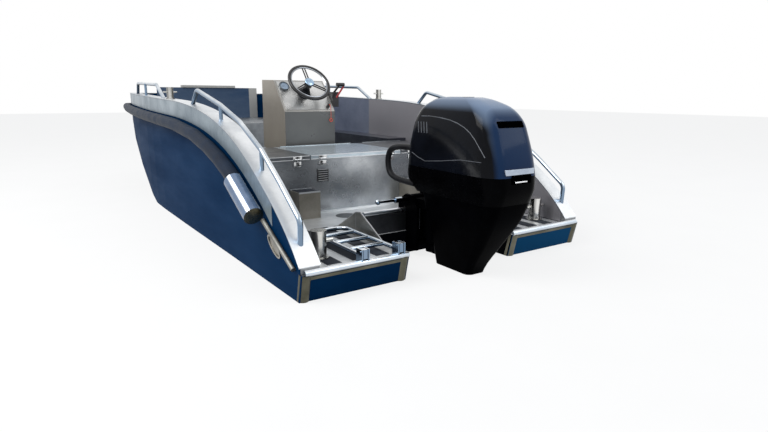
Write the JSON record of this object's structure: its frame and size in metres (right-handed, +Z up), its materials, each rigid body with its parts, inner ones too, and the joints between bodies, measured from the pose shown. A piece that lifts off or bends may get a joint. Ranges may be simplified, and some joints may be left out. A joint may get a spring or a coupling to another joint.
{
  "type": "workboat",
  "caption": "Open aluminium workboat with decked stern pods either side of a motor well, bulwarks with fenders, locker bench, centre console and a tilting outboard motor.",
  "frame": {"origin": "on the waterline and the centreline, under the aft top edge of the stern pods", "axes": "+X starboard, +Y forward to the bow, +Z up; Z = 0 is the waterline"},
  "size_m": [2.3776, 5.5236, 1.8855],
  "materials": {
    "navy_paint": "satin",
    "sole_aluminium": "brushed",
    "cap_aluminium": "brushed",
    "brushed_aluminium": "brushed",
    "slate_paint": "satin",
    "polished_aluminium": "polished",
    "stainless": "polished",
    "rubber": "matte",
    "black_plastic": "matte",
    "cowl_black": "gloss",
    "engine_metal": "matte",
    "prop_steel": "satin",
    "lanyard_red": "satin",
    "chrome_trim": "polished"
  },
  "bodies": {
    "hull_body": {"hull": "navy_paint", "pod_edge_tubes": "cap_aluminium", "drain_scoops": "polished_aluminium", "sole_plate": "sole_aluminium", "foredeck_plate": "sole_aluminium", "bulwark_linings": "brushed_aluminium", "gunwale_caps": "cap_aluminium", "bow_cap": "cap_aluminium", "sheer_strips": "brushed_aluminium", "fender": "rubber", "fender_ends": "polished_aluminium", "rubbing_bars": "brushed_aluminium", "bow_panel": "slate_paint", "transom": "brushed_aluminium", "transom_tube": "cap_aluminium", "well_gussets": "brushed_aluminium", "locker_bench": "brushed_aluminium", "step_boxes": "brushed_aluminium", "locker_vent": "black_plastic", "side_benches": "brushed_aluminium", "console": "brushed_aluminium", "dash_panel": "cap_aluminium", "gauge": "chrome_trim", "steering_column": "black_plastic", "throttle_box": "black_plastic", "throttle_lever": "black_plastic", "stop_switch": "black_plastic", "stern_bollards": "stainless", "midship_bollards": "stainless", "aft_rails": "stainless", "forward_rails": "stainless", "ladder_lugs": "stainless", "clamp_bracket": "cowl_black", "steering_ram": "stainless", "stop_lanyard": "lanyard_red", "lanyard_ring": "lanyard_red"},
    "helm": {"steering_wheel": "black_plastic"},
    "port_lid_body": {"port_lid": "sole_aluminium"},
    "centre_lid_body": {"centre_lid": "sole_aluminium"},
    "starboard_lid_body": {"starboard_lid": "sole_aluminium"},
    "ladder": {"boarding_ladder": "stainless"},
    "tilt_unit": {"swivel_bracket": "cowl_black"},
    "motor": {"midsection": "cowl_black", "lower_cowl": "cowl_black", "upper_cowl": "cowl_black", "cowl_latch": "chrome_trim", "powerhead": "engine_metal", "rigging_hose": "rubber"},
    "propeller_body": {"propeller": "prop_steel"}
  },
  "joints": [
    {"name": "helm_turn", "type": "hinge", "parent": "hull_body", "child": "helm", "pos_m": [0, 2.00907, 1.11185], "axis": [0, -0.7654, 0.6436], "range_deg": [-540, 540]},
    {"name": "port_lid_hinge", "type": "hinge", "parent": "hull_body", "child": "port_lid_body", "pos_m": [-0.6735, 1.9, 0.587], "axis": [-1, 0, 0], "range_deg": [0, 80]},
    {"name": "centre_lid_hinge", "type": "hinge", "parent": "hull_body", "child": "centre_lid_body", "pos_m": [0, 1.9, 0.587], "axis": [-1, 0, 0], "range_deg": [0, 60]},
    {"name": "starboard_lid_hinge", "type": "hinge", "parent": "hull_body", "child": "starboard_lid_body", "pos_m": [0.6735, 1.9, 0.587], "axis": [-1, 0, 0], "range_deg": [0, 80]},
    {"name": "ladder_hinge", "type": "hinge", "parent": "hull_body", "child": "ladder", "pos_m": [-0.58, 0.008, 0.216], "axis": [1, 0, 0], "range_deg": [0, 262]},
    {"name": "motor_tilt", "type": "hinge", "parent": "hull_body", "child": "tilt_unit", "pos_m": [0, 0.44, 0.365], "axis": [-1, 0, 0], "range_deg": [0, 65]},
    {"name": "motor_steer", "type": "hinge", "parent": "tilt_unit", "child": "motor", "pos_m": [0, 0.295, 0.3], "axis": [0, 0, 1], "range_deg": [-30, 30]},
    {"name": "propeller_spin", "type": "hinge", "parent": "motor", "child": "propeller_body", "pos_m": [0, -0.25, -0.425], "axis": [0, 1, 0], "continuous": true}
  ]
}
